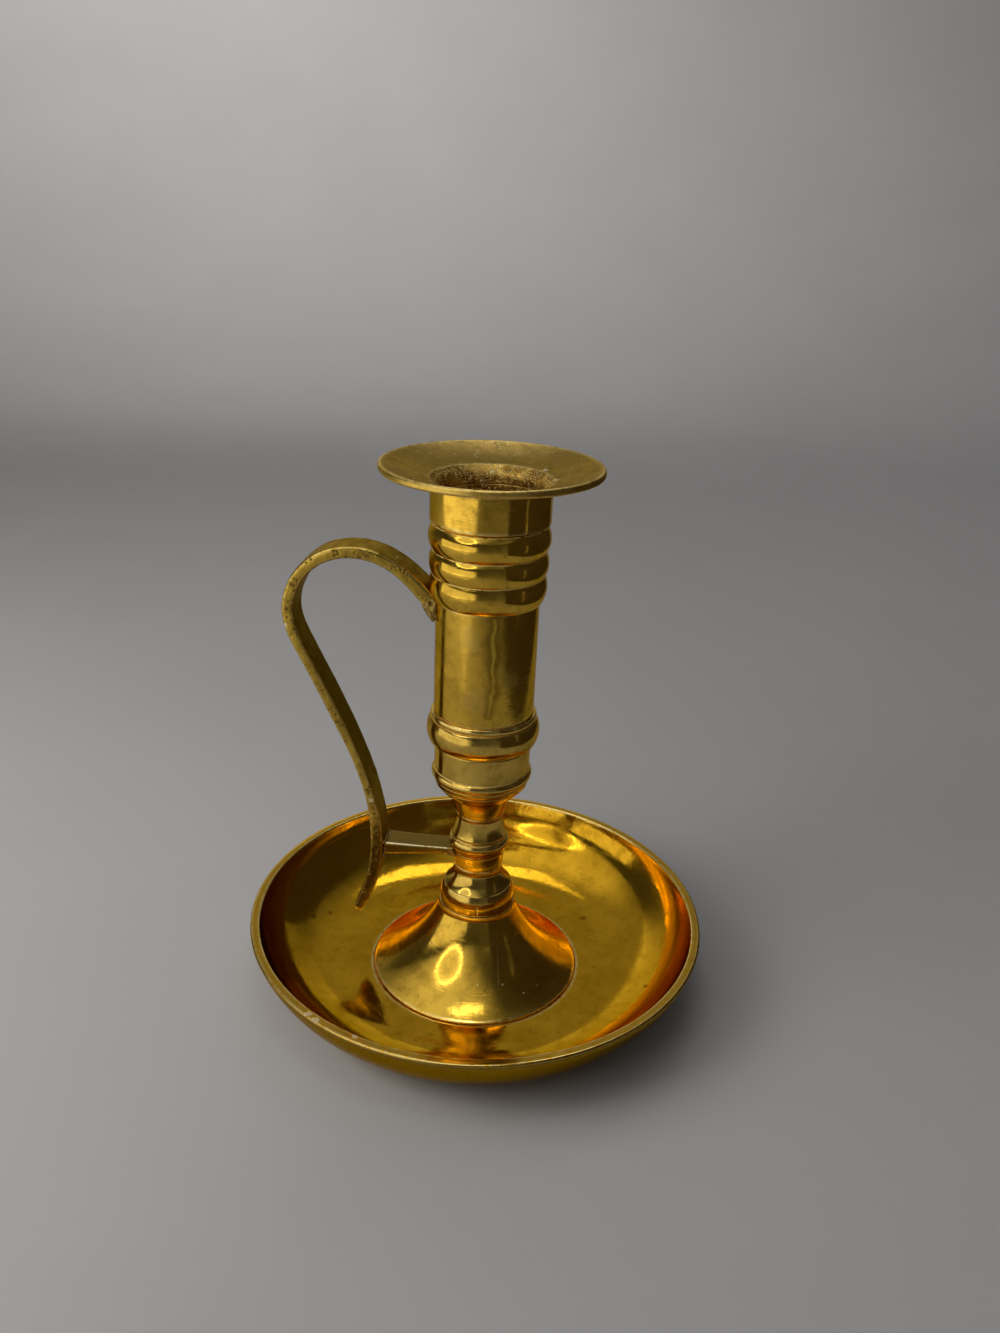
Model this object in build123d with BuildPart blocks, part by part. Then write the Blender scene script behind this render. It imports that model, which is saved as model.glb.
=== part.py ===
from build123d import *
from math import cos, pi
import os

os.makedirs("parts", exist_ok=True)

# A brass chamberstick: a saucer pan, a column of turned sections stacked on a
# threaded rod, a beaded candle socket with a drip flange, and a strap handle that
# makes the finger loop. Millimetres, Z up. The origin is the middle of the pan's
# foot on the table, and the handle stands on the minus X side.

# Pan
pan_radius = 57.0
pan_height = 18.5
pan_rim_width = 2.4
pan_rim_ease = 0.5
pan_floor_radius = 34.0
pan_foot_inset = 1.5
pan_floor_thickness = 2.5
pan_boss_radius = 11.0
pan_boss_rise = 4.5
pan_boss_wall = 2.5
pan_hole_radius = 2.7

# Foot cone
cone_base_radius = 26.0
cone_base_lip = 0.6
cone_base_land = 3.2
cone_height = 18.9
cone_top_radius = 9.5
cone_top_band = 0.9
cone_flare_sag = 2.1
cone_hub_height = 6.4
cone_hollow_radius = 7.6
cone_hollow_sag = 3.0
cone_seat_depth = 0.6

# Stem collar
collar_height = 10.9
collar_radius = 9.35
collar_foot_radius = 9.0
collar_foot_rise = 1.1
collar_foot_sag = 0.08
collar_band_height = 5.4
collar_band_draw = 0.9
collar_band_sag = 0.3
collar_line_depth = 0.2
collar_neck_radius = 6.0
collar_neck_height = 1.3
collar_waist_sag = 0.3

# Stem knop
knop_height = 14.7
knop_swell_radius = 6.85
knop_swell_height = 5.4
knop_swell_sag = 0.15
knop_ring_radius = 7.05
knop_ring_height = 2.6
knop_ring_sag = 0.38
knop_bead_height = 0.7
knop_bead_drop = 0.3
knop_throat_radius = 5.75
knop_throat_height = 5.2
knop_throat_sag = 0.15

# Column cup: underside, lowest ring, short drum, cove, torus and top bead
cup_neck_radius = 5.8
cup_waist_radius = 7.5
cup_waist_height = 5.2
cup_waist_sag = 0.15
cup_waist_step = 0.3
cup_bell_radius = 11.2
cup_bell_height = 3.6
cup_bell_sag = 0.22
cup_step_radius = 11.65
cup_step_height = 1.5
cup_ring_radius = 11.75
cup_ring_height = 2.3
cup_ring_sag = 0.42
cup_drum_radius = 11.5
cup_drum_height = 6.3
cup_cove_radius = 12.3
cup_cove_height = 1.3
cup_cove_sag = 0.25
cup_torus_radius = 12.75
cup_torus_height = 5.9
cup_torus_sag = 0.7
cup_bead_radius = 12.35
cup_bead_height = 1.6
cup_bead_sag = 0.25

# Column tube
tube_radius = 11.87
tube_wall = 1.55
tube_length = 27.7

# Candle socket: three beads below a plain sleeve
socket_bore_radius = 12.0
socket_floor_thickness = 3.0
socket_pocket_radius = 8.0
socket_pocket_depth = 4.8
socket_groove_radius = 12.85
socket_foot_radius = 12.4
socket_bead_heights = (6.2, 5.5, 6.0)
socket_bead_sags = (0.75, 0.7, 0.95)
socket_sleeve_radius = 13.55
socket_sleeve_height = 8.8
socket_rebate_depth = 3.2
socket_rebate_wall = 0.65

# Drip flange
flange_radius = 24.76
flange_rise = 4.65
flange_edge = 1.9
flange_edge_ease = 0.55
flange_mouth_radius = 13.6
flange_mouth_rise = 1.1
flange_funnel_sag = 0.35
flange_neck_length = 3.0
flange_lip_drop = 2.4
flange_lip_sag = 0.12
flange_under_sag = 0.5

# Registers that hold the stacked sections in line
spigot_radius = 4.4
spigot_height = 1.8
tube_spigot_height = 2.5
register_gap = 0.05
end_gap = 0.3

# Tie rod, nuts and washers
rod_radius = 2.5
rod_hole_radius = 2.7
rod_stand_out = 0.5
nut_sides = 6
nut_across_flats = 8.0
nut_height = 2.7
nut_chamfer = 0.4
socket_washer_radius = 5.0
base_washer_radius = 7.5
washer_hole_radius = 2.65
washer_thickness = 1.0

# Handle strap: a flat bar bent in the XZ plane
strap_width = 8.0
strap_thickness = 2.8
strap_reach = 45.7
strap_edge_radius = 0.6
strap_waist_share = 0.394
strap_joint_share = 1.1
strap_out_shares = (-0.07, 0.101, 0.345, 0.642, 0.907, 1.0, 0.9, 0.638, 0.43, strap_waist_share, 0.43, 0.532)
strap_up_shares = (0.924, 1.032, 1.132, 1.15, 1.06, 0.904, 0.744, 0.447, 0.126, -0.035, -0.214, -0.37)
strap_thickness_shares = (1.25, 1.2, 1.04, 1.02, 1.0, 1.02, 0.96, 0.88, 0.86, strap_joint_share, 1.07, 0.95)
strap_tip_share = 0.35

# Handle strut: a short tapering bar from the strap to the knop
strut_outer_width = 6.2
strut_inner_width = 5.8
strut_outer_height = 3.5
strut_inner_height = 1.7
strut_drop = 0.8
strut_edge_radius = 0.3

# Solder at the ends of the handle
solder_fillet = 0.7
solder_feather = 0.25
solder_reach = 4.5
strap_seat_share = 0.042

# Radii and heights of the joints, from the table up
pan_foot_radius = pan_floor_radius - pan_foot_inset
cone_bottom = pan_floor_thickness - cone_seat_depth
collar_bottom = pan_floor_thickness + cone_height
knop_bottom = collar_bottom + collar_height
cup_bottom = knop_bottom + knop_height
cup_bell_top = cup_bottom + cup_waist_height + cup_bell_height
cup_ring_bottom = cup_bell_top + cup_step_height
cup_drum_bottom = cup_ring_bottom + cup_ring_height
cup_cove_bottom = cup_drum_bottom + cup_drum_height
cup_torus_bottom = cup_cove_bottom + cup_cove_height
cup_bead_bottom = cup_torus_bottom + cup_torus_height
tube_bottom = cup_bead_bottom + cup_bead_height
socket_bottom = tube_bottom + tube_length
sleeve_bottom = socket_bottom + sum(socket_bead_heights)
flange_bottom = sleeve_bottom + socket_sleeve_height
tube_bore_radius = tube_radius - tube_wall
recess_roof = pan_floor_thickness + pan_boss_rise - pan_boss_wall
pocket_floor = socket_bottom + socket_floor_thickness
rod_bottom = recess_roof - washer_thickness - nut_height - rod_stand_out
rod_top = pocket_floor + washer_thickness + nut_height + rod_stand_out


# Pan: a saucer with an even wall, its floor raised in the middle over a recess
with BuildPart() as drip_pan:
    with BuildSketch(Plane.XZ):
        with BuildLine():
            recess_radius = pan_boss_radius - pan_boss_wall
            boss_top = pan_floor_thickness + pan_boss_rise
            outer_arc_radius = ((pan_radius - pan_foot_radius) ** 2 + pan_height**2) / (2 * pan_height)
            inner_rise = pan_height - pan_floor_thickness
            inner_run = pan_radius - pan_rim_width - pan_floor_radius
            inner_arc_radius = (inner_run**2 + inner_rise**2) / (2 * inner_rise)
            Polyline(
                (pan_hole_radius, recess_roof),
                (recess_radius, recess_roof),
                (recess_radius, 0),
                (pan_foot_radius, 0),
            )
            RadiusArc((pan_foot_radius, 0), (pan_radius, pan_height), -outer_arc_radius)
            Line((pan_radius, pan_height), (pan_radius - pan_rim_width, pan_height))
            RadiusArc(
                (pan_radius - pan_rim_width, pan_height),
                (pan_floor_radius, pan_floor_thickness),
                inner_arc_radius,
            )
            Polyline(
                (pan_floor_radius, pan_floor_thickness),
                (cone_base_radius + end_gap, pan_floor_thickness),
                (cone_base_radius + end_gap, cone_bottom),
                (cone_base_radius - cone_base_land - end_gap, cone_bottom),
                (cone_base_radius - cone_base_land - end_gap, pan_floor_thickness),
                (pan_boss_radius, pan_floor_thickness),
                (pan_boss_radius, boss_top),
                (pan_hole_radius, boss_top),
                (pan_hole_radius, recess_roof),
            )
        rim_corners = make_face().vertices().group_by(Axis.Y)[-1]
        fillet(rim_corners, pan_rim_ease)
    revolve(axis=Axis.Z)
drip_pan.part.label = "drip_pan"
export_step(drip_pan.part, "parts/drip_pan.step")


# Foot cone: a hollow trumpet with a solid hub for the rod
with BuildPart() as foot_cone:
    with BuildSketch(Plane.XZ):
        with BuildLine():
            cone_land_radius = cone_base_radius - cone_base_land
            flare_bottom = pan_floor_thickness + cone_base_lip
            flare_top = collar_bottom - cone_top_band
            hollow_top = collar_bottom - cone_hub_height
            Polyline(
                (rod_hole_radius, hollow_top),
                (cone_hollow_radius, hollow_top),
            )
            SagittaArc(
                (cone_hollow_radius, hollow_top),
                (cone_land_radius, pan_floor_thickness),
                -cone_hollow_sag,
            )
            Polyline(
                (cone_land_radius, pan_floor_thickness),
                (cone_land_radius, cone_bottom),
                (cone_base_radius, cone_bottom),
                (cone_base_radius, flare_bottom),
            )
            SagittaArc((cone_base_radius, flare_bottom), (cone_top_radius, flare_top), cone_flare_sag)
            Polyline(
                (cone_top_radius, flare_top),
                (cone_top_radius, collar_bottom),
                (spigot_radius, collar_bottom),
                (spigot_radius, collar_bottom + spigot_height),
                (rod_hole_radius, collar_bottom + spigot_height),
                (rod_hole_radius, hollow_top),
            )
        make_face()
    revolve(axis=Axis.Z)
foot_cone.part.label = "foot_cone"
export_step(foot_cone.part, "parts/foot_cone.step")


# Stem collar: a rounded band below a fine line, flaring down from the neck
with BuildPart() as stem_collar:
    with BuildSketch(Plane.XZ):
        with BuildLine():
            band_top = collar_bottom + collar_band_height
            band_bottom = collar_bottom + collar_foot_rise
            shoulder_radius = collar_radius - collar_band_draw
            waist_radius = shoulder_radius - collar_line_depth
            neck_bottom = knop_bottom - collar_neck_height
            Line((rod_hole_radius, collar_bottom), (collar_foot_radius, collar_bottom))
            SagittaArc((collar_foot_radius, collar_bottom), (collar_radius, band_bottom), -collar_foot_sag)
            SagittaArc((collar_radius, band_bottom), (shoulder_radius, band_top), -collar_band_sag)
            Line((shoulder_radius, band_top), (waist_radius, band_top))
            SagittaArc((waist_radius, band_top), (collar_neck_radius, neck_bottom), collar_waist_sag)
            Polyline(
                (collar_neck_radius, neck_bottom),
                (collar_neck_radius, knop_bottom),
                (spigot_radius, knop_bottom),
                (spigot_radius, knop_bottom + spigot_height),
                (rod_hole_radius, knop_bottom + spigot_height),
                (rod_hole_radius, collar_bottom),
            )
        make_face()
    revolve(axis=Axis.Z)
    with BuildSketch(Plane.XY.offset(collar_bottom)):
        Circle(spigot_radius + register_gap)
    extrude(amount=spigot_height + end_gap, mode=Mode.SUBTRACT)
stem_collar.part.label = "stem_collar"
export_step(stem_collar.part, "parts/stem_collar.step")


# Stem knop: a swelling, a ring with a bead on it, and a throat that narrows upwards
with BuildPart() as stem_knop:
    with BuildSketch(Plane.XZ):
        with BuildLine():
            ring_bottom = knop_bottom + knop_swell_height
            ring_top = ring_bottom + knop_ring_height
            bead_top = ring_top + knop_bead_height
            bead_radius = knop_ring_radius - knop_bead_drop
            throat_top = bead_top + knop_throat_height
            Line((rod_hole_radius, knop_bottom), (collar_neck_radius, knop_bottom))
            SagittaArc((collar_neck_radius, knop_bottom), (knop_swell_radius, ring_bottom), knop_swell_sag)
            Line((knop_swell_radius, ring_bottom), (knop_ring_radius, ring_bottom))
            SagittaArc((knop_ring_radius, ring_bottom), (knop_ring_radius, ring_top), -knop_ring_sag)
            Polyline((knop_ring_radius, ring_top), (bead_radius, ring_top), (bead_radius, bead_top))
            SagittaArc((bead_radius, bead_top), (knop_throat_radius, throat_top), knop_throat_sag)
            Polyline(
                (knop_throat_radius, throat_top),
                (cup_neck_radius, cup_bottom),
                (spigot_radius, cup_bottom),
                (spigot_radius, cup_bottom + spigot_height),
                (rod_hole_radius, cup_bottom + spigot_height),
                (rod_hole_radius, knop_bottom),
            )
        make_face()
    revolve(axis=Axis.Z)
    with BuildSketch(Plane.XY.offset(knop_bottom)):
        Circle(spigot_radius + register_gap)
    extrude(amount=spigot_height + end_gap, mode=Mode.SUBTRACT)
stem_knop.part.label = "stem_knop"
export_step(stem_knop.part, "parts/stem_knop.step")


# Column cup: the turned base that carries the tube
with BuildPart() as column_cup:
    with BuildSketch(Plane.XZ):
        with BuildLine():
            tube_spigot_radius = tube_bore_radius - register_gap
            waist_top = cup_bottom + cup_waist_height
            Line((rod_hole_radius, cup_bottom), (cup_neck_radius, cup_bottom))
            SagittaArc((cup_neck_radius, cup_bottom), (cup_waist_radius, waist_top), cup_waist_sag)
            bell_start = cup_waist_radius + cup_waist_step
            Line((cup_waist_radius, waist_top), (bell_start, waist_top))
            SagittaArc((bell_start, waist_top), (cup_bell_radius, cup_bell_top), -cup_bell_sag)
            Line((cup_bell_radius, cup_bell_top), (cup_step_radius, cup_ring_bottom))
            SagittaArc((cup_step_radius, cup_ring_bottom), (cup_ring_radius, cup_drum_bottom), -cup_ring_sag)
            Polyline(
                (cup_ring_radius, cup_drum_bottom),
                (cup_drum_radius, cup_drum_bottom),
                (cup_drum_radius, cup_cove_bottom),
            )
            SagittaArc((cup_drum_radius, cup_cove_bottom), (cup_cove_radius, cup_torus_bottom), cup_cove_sag)
            Line((cup_cove_radius, cup_torus_bottom), (cup_torus_radius, cup_torus_bottom))
            SagittaArc(
                (cup_torus_radius, cup_torus_bottom),
                (cup_torus_radius, cup_bead_bottom),
                -cup_torus_sag,
            )
            Line((cup_torus_radius, cup_bead_bottom), (cup_bead_radius, cup_bead_bottom))
            SagittaArc((cup_bead_radius, cup_bead_bottom), (cup_bead_radius, tube_bottom), -cup_bead_sag)
            Polyline(
                (cup_bead_radius, tube_bottom),
                (tube_spigot_radius, tube_bottom),
                (tube_spigot_radius, tube_bottom + tube_spigot_height),
                (rod_hole_radius, tube_bottom + tube_spigot_height),
                (rod_hole_radius, cup_bottom),
            )
        make_face()
    revolve(axis=Axis.Z)
    with BuildSketch(Plane.XY.offset(cup_bottom)):
        Circle(spigot_radius + register_gap)
    extrude(amount=spigot_height + end_gap, mode=Mode.SUBTRACT)
column_cup.part.label = "column_cup"
export_step(column_cup.part, "parts/column_cup.step")


# Column tube: plain drawn tube, held between the cup and the socket
with BuildPart() as column_tube:
    with BuildSketch(Plane.XY.offset(tube_bottom)):
        Circle(tube_radius)
        Circle(tube_bore_radius, mode=Mode.SUBTRACT)
    extrude(amount=tube_length)
column_tube.part.label = "column_tube"
export_step(column_tube.part, "parts/column_tube.step")


# Candle socket: three beads, a plain sleeve, and a seat for the candle over the nut
with BuildPart() as candle_socket:
    with BuildSketch(Plane.XZ):
        with BuildLine():
            spigot_bottom = socket_bottom - tube_spigot_height
            bead_count = len(socket_bead_heights)
            bead_tops = [socket_bottom + sum(socket_bead_heights[:i]) for i in range(bead_count + 1)]
            groove_radii = [socket_foot_radius] + [socket_groove_radius] * bead_count
            groove_width = socket_sleeve_radius - socket_groove_radius
            rebate_radius = socket_sleeve_radius - socket_rebate_wall
            rebate_bottom = flange_bottom - socket_rebate_depth
            candle_seat = pocket_floor + socket_pocket_depth
            Polyline(
                (rod_hole_radius, spigot_bottom),
                (tube_spigot_radius, spigot_bottom),
                (tube_spigot_radius, socket_bottom),
                (socket_foot_radius, socket_bottom),
            )
            grooves = list(zip(groove_radii, bead_tops))
            for groove_below, groove_above, sag in zip(grooves, grooves[1:], socket_bead_sags):
                SagittaArc(groove_below, groove_above, -sag)
            Polyline(
                (socket_groove_radius, sleeve_bottom),
                (socket_sleeve_radius, sleeve_bottom + groove_width),
                (socket_sleeve_radius, flange_bottom),
                (rebate_radius, flange_bottom),
                (rebate_radius, rebate_bottom),
                (socket_bore_radius, rebate_bottom),
                (socket_bore_radius, candle_seat),
                (socket_pocket_radius, candle_seat),
                (socket_pocket_radius, pocket_floor),
                (rod_hole_radius, pocket_floor),
                (rod_hole_radius, spigot_bottom),
            )
        make_face()
    revolve(axis=Axis.Z)
candle_socket.part.label = "candle_socket"
export_step(candle_socket.part, "parts/candle_socket.step")


# Drip flange: a shallow funnel with a short neck that drops into the socket
with BuildPart() as drip_flange:
    with BuildSketch(Plane.XZ):
        with BuildLine():
            flange_top = flange_bottom + flange_rise
            edge_bottom = flange_top - flange_edge
            mouth_height = flange_bottom + flange_mouth_rise
            lip_bottom = mouth_height - flange_lip_drop
            neck_bottom = flange_bottom - flange_neck_length
            neck_radius = rebate_radius - register_gap
            Polyline(
                (socket_bore_radius, lip_bottom),
                (socket_bore_radius, neck_bottom),
                (neck_radius, neck_bottom),
                (neck_radius, flange_bottom),
                (socket_sleeve_radius, flange_bottom),
            )
            SagittaArc((socket_sleeve_radius, flange_bottom), (flange_radius, edge_bottom), flange_under_sag)
            Line((flange_radius, edge_bottom), (flange_radius, flange_top))
            SagittaArc((flange_radius, flange_top), (flange_mouth_radius, mouth_height), flange_funnel_sag)
            SagittaArc((flange_mouth_radius, mouth_height), (socket_bore_radius, lip_bottom), -flange_lip_sag)
        make_face()
    revolve(axis=Axis.Z)
    hoops = drip_flange.edges().filter_by(lambda edge: edge.is_closed)
    fillet(hoops.sort_by(SortBy.RADIUS)[-2:], flange_edge_ease)
drip_flange.part.label = "drip_flange"
export_step(drip_flange.part, "parts/drip_flange.step")


# Tie rod: clamps the sections between the recess under the pan and the socket floor
with BuildPart() as tie_rod:
    with BuildSketch(Plane.XY.offset(rod_bottom)):
        Circle(rod_radius)
    extrude(amount=rod_top - rod_bottom)
    chamfer(tie_rod.edges().filter_by(GeomType.CIRCLE), nut_chamfer)
tie_rod.part.label = "tie_rod"
export_step(tie_rod.part, "parts/tie_rod.step")


def hex_nut(nut_bottom):
    """A thin hexagon nut whose corners are chamfered on both faces."""
    corner_radius = nut_across_flats / 2 / cos(pi / nut_sides)
    with BuildPart() as nut:
        with BuildSketch(Plane.XY.offset(nut_bottom)):
            RegularPolygon(nut_across_flats / 2, nut_sides, major_radius=False)
        extrude(amount=nut_height)
        with BuildSketch(Plane.XZ):
            with BuildLine():
                Polyline(
                    (rod_radius, nut_bottom),
                    (corner_radius - nut_chamfer, nut_bottom),
                    (corner_radius, nut_bottom + nut_chamfer),
                    (corner_radius, nut_bottom + nut_height - nut_chamfer),
                    (corner_radius - nut_chamfer, nut_bottom + nut_height),
                    (rod_radius, nut_bottom + nut_height),
                    close=True,
                )
            make_face()
        revolve(axis=Axis.Z, mode=Mode.INTERSECT)
    return nut


def washer(washer_bottom, washer_radius):
    """A flat washer round the tie rod."""
    with BuildPart() as ring:
        with BuildSketch(Plane.XY.offset(washer_bottom)):
            Circle(washer_radius)
            Circle(washer_hole_radius, mode=Mode.SUBTRACT)
        extrude(amount=washer_thickness)
    return ring


base_washer = washer(recess_roof - washer_thickness, base_washer_radius)
base_washer.part.label = "base_washer"
export_step(base_washer.part, "parts/base_washer.step")

base_nut = hex_nut(recess_roof - washer_thickness - nut_height)
base_nut.part.label = "base_nut"
export_step(base_nut.part, "parts/base_nut.step")

socket_washer = washer(pocket_floor, socket_washer_radius)
socket_washer.part.label = "socket_washer"
export_step(socket_washer.part, "parts/socket_washer.step")

socket_nut = hex_nut(pocket_floor + washer_thickness)
socket_nut.part.label = "socket_nut"
export_step(socket_nut.part, "parts/socket_nut.step")


# Handle strap: points along the middle of the bar, and a half thickness at each
strap_run = strap_reach - tube_radius
strap_rise = socket_bottom - ring_top
strap_points = [
    (-(tube_radius + out * strap_run), ring_top + up * strap_rise)
    for out, up in zip(strap_out_shares, strap_up_shares)
]
strap_line = Spline(*strap_points)
outer_points = []
inner_points = []
for point, share in zip(strap_points, strap_thickness_shares):
    across = strap_line.tangent_at(point).rotate(Axis.Z, 90) * (strap_thickness * share / 2)
    outer_points.append(Vector(*point) - across)
    inner_points.append(Vector(*point) + across)

with BuildPart() as handle_strap:
    with BuildSketch(Plane.XZ):
        with BuildLine():
            Line(inner_points[0], outer_points[0])
            Spline(*outer_points)
            SagittaArc(outer_points[-1], inner_points[-1], -strap_thickness * strap_tip_share)
            Spline(*inner_points)
        make_face()
    extrude(amount=strap_width / 2, both=True)
    fillet(handle_strap.faces().filter_by(Axis.Y).edges(), strap_edge_radius)
    with BuildSketch(Plane.XY.offset(tube_bottom)):
        Circle(tube_radius)
    extrude(amount=tube_length, mode=Mode.SUBTRACT)
    add(candle_socket.part, mode=Mode.SUBTRACT)
handle_strap.part.label = "handle_strap"
export_step(handle_strap.part, "parts/handle_strap.step")


# Handle strut: tapers from the strap to the underside of the knop's ring
strut_top = ring_bottom - strut_drop
strut_outer_end = tube_radius + strap_waist_share * strap_run
strut_inner_end = knop_throat_radius

with BuildPart() as handle_strut:
    with BuildSketch(Plane.YZ.offset(-strut_outer_end)):
        with Locations((0, strut_top - strut_outer_height / 2)):
            Rectangle(strut_outer_width, strut_outer_height)
    with BuildSketch(Plane.YZ.offset(-strut_inner_end)):
        with Locations((0, strut_top - strut_inner_height / 2)):
            Rectangle(strut_inner_width, strut_inner_height)
    loft()
    fillet(handle_strut.edges().sort_by(SortBy.LENGTH)[-4:], strut_edge_radius)
    add(handle_strap.part, mode=Mode.SUBTRACT)
    add(stem_knop.part, mode=Mode.SUBTRACT)
handle_strut.part.label = "handle_strut"
export_step(handle_strut.part, "parts/handle_strut.step")


# Solder at the socket: a collar round the strap, thicker towards the column
seat_place = strap_line @ strap_seat_share
seat_run = strap_line % strap_seat_share
seat_thickness = strap_thickness * strap_thickness_shares[0]
seat_plane = Plane(
    origin=(seat_place.X, 0, seat_place.Y),
    x_dir=(0, 1, 0),
    z_dir=(-seat_run.X, 0, -seat_run.Y),
)
with BuildPart() as socket_solder:
    for reach, margin in ((0, solder_feather), (solder_reach, solder_fillet)):
        with BuildSketch(seat_plane.offset(reach)):
            RectangleRounded(strap_width + 2 * margin, seat_thickness + 2 * margin, strap_edge_radius)
    loft()
    with BuildSketch(Plane.XY.offset(tube_bottom)):
        Circle(tube_radius)
    extrude(amount=tube_length, mode=Mode.SUBTRACT)
    add(candle_socket.part, mode=Mode.SUBTRACT)
    add(handle_strap.part, mode=Mode.SUBTRACT)
socket_solder.part.label = "socket_solder"
export_step(socket_solder.part, "parts/socket_solder.step")


# Solder at both ends of the strut: each collar shrinks away from the face it grips
strap_half = strap_thickness * strap_joint_share / 2
strap_face = -strut_outer_end + strap_half
knop_face = -knop_swell_radius
strut_joints = (
    (-strut_outer_end, strap_face + solder_fillet, strut_outer_width, strut_outer_height),
    (-strut_inner_end + solder_fillet, knop_face - solder_fillet, strut_inner_width, strut_inner_height),
)
with BuildPart() as strut_solder:
    for start_x, stop_x, joint_width, joint_height in strut_joints:
        for place_x, margin in ((start_x, solder_fillet), (stop_x, solder_feather)):
            with BuildSketch(Plane.YZ.offset(place_x)):
                with Locations((0, strut_top - joint_height / 2)):
                    RectangleRounded(joint_width + 2 * margin, joint_height + 2 * margin, strut_edge_radius)
        loft()
    add(handle_strap.part, mode=Mode.SUBTRACT)
    add(handle_strut.part, mode=Mode.SUBTRACT)
    add(stem_knop.part, mode=Mode.SUBTRACT)
strut_solder.part.label = "strut_solder"
export_step(strut_solder.part, "parts/strut_solder.step")
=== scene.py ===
import math

import bpy
import numpy as np
from mathutils import Matrix, Vector


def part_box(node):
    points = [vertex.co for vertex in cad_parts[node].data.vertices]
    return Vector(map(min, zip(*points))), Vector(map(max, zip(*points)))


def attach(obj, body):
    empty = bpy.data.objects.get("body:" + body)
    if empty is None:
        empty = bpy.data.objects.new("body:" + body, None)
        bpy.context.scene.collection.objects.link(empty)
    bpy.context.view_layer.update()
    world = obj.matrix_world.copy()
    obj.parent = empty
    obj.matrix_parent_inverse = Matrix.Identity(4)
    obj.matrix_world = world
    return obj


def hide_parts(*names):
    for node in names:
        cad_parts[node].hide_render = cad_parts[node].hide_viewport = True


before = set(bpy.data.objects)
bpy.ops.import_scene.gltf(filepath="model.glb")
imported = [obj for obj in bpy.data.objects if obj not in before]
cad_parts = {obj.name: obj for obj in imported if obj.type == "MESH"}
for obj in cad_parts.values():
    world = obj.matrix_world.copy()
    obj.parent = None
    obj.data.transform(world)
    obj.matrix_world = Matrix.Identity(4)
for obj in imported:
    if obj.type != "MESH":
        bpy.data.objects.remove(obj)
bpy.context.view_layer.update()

scene = bpy.context.scene
body = "root"

# Lengths are in metres, except where a comment says otherwise

# Camera, fitted to the rims of the pan and the flange: angles in degrees, sensor in millimetres
camera_place = (0.02483, -0.23622, 0.18693)
camera_heading = -5.17
camera_tilt = 23.12
camera_roll = 2.39
focal_pixels = 1107.8
image_long_side = 1333
sensor_width = 36.0

# How a turned piece is remade from its node
corner_angle = math.radians(28)
corner_round = 0.00014
corner_rounds = {"drip_pan": 0.0006, "drip_flange": 0.0003}
corner_steps = 4
corner_share = 0.4
line_ratio = 2.5
ring_spacing = 0.0008
ring_count = 256
wobble_length = 0.016
wobble_waves = 24
wobble_spread = (0.7, 1.6)
turned_unevenness = 0.00002
slope_reach = 0.00005
edge_reach = 0.0006

# Where each of a turned piece's numbers for its material leaves 0, and where it reaches 1
worn_bulge = (0.1, 0.45)
worn_gap = (0.0001, 0.0004)
soiled_and_shaded_hollow = (0.05, 0.4)
soiled_and_shaded_gap = (0.0001, 0.0006)
free_gap = (0.0002, 0.003)
free_height = (0.0, 0.002)
inward_side = (0.45, 0.85)
outward_side = (0.3, 0.8)

# Fine turned lines: their heights, their size, and how far the outline's own points stay away
scribes = {"column_cup": (0.0663, 0.0573, 0.0558), "stem_knop": (0.0366, 0.0409), "drip_pan": (0.0172,)}
scribe_half = 0.00018
scribe_depth = 0.00009
scribe_points = 7
scribe_clear = 1.6

# How a bar or a run of solder is remade from its node
bar_voxel = 0.00032
strap_rounds = 3
strut_rounds = 14
bar_bumps = ((0.012, 0.00005), (0.003, 0.000018))
solder_voxel = 0.00022
solder_rounds = 16
solder_bumps = ((0.0035, 0.00012), (0.0014, 0.00005))
shrink_share = 0.55
swell_share = 0.57
curve_rounds = 3
loop_middle = np.array([-0.020, 0.0, 0.075])

# Where each of a bar's numbers for its material leaves 0, and where it reaches 1
worn_curve = (0.02, 0.14)
soiled_and_shaded_curve = (0.02, 0.12)
narrow_side = (0.55, 0.85)
inside_side = (0.25, 0.7)

# Rod and nuts
rod_around = 48
rod_chamfer = 0.0005
shank_levels = 12
thread_pitch = 0.0008
thread_depth = 0.00045
thread_length = 0.009
thread_steps = 10
nut_around = 144
nut_bore = 0.0025
nut_ease = 0.0004
nut_crown_share = 0.96
nut_crown_slope = math.tan(math.radians(30))
nut_edge = 0.00012
nut_shoulder_share = 0.9
nut_side_gap = 0.0001

# Marks of age, and places of painted glints: a place and a radius each, or the places along a streak, all in
# millimetres
pan_spots = (
    (-45.0, 6.4, 5.9, 1.5), (-41.3, 10.2, 4.3, 1.1), (27.6, 21.4, 2.5, 1.3), (-50.8, -13.9, 13.7, 1.0),
    (-10.0, -33.0, 3.0, 0.8), (44.0, -9.0, 6.0, 1.0),
)
rim_scuffs = ((-31.7, -46.1, 18.5, 0.9), (-29.5, -47.7, 18.5, 1.0), (-20.0, -51.3, 18.5, 0.9))
cone_specks = (
    (-9.9, -9.8, 13.0, 0.3), (14.2, -16.3, 5.7, 0.35), (17.2, -12.9, 5.8, 0.3), (3.0, -18.2, 8.3, 0.3),
    (9.0, -16.6, 7.8, 0.4),
)
cone_streak = (
    (6.2, -8.7, 18.0), (6.6, -10.0, 15.8), (6.9, -11.6, 13.6), (7.3, -13.2, 11.6), (7.6, -15.0, 9.7),
    (8.0, -17.0, 7.9),
)
collar_nick = ((1.1, -9.2, 24.4), (1.0, -9.5, 20.4))
mouth_marks = (
    (10.9, 9.7, 130.2, 1.0), (13.3, -3.0, 130.0, 0.8), (13.8, 1.4, 130.1, 1.1), (11.2, 5.9, 129.2, 0.8),
)
bore_runs = ((-3.3, 11.5, 126.6, 0.9), (-1.3, 12.3, 128.4, 0.7), (-6.1, 10.3, 127.1, 0.6))
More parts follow.
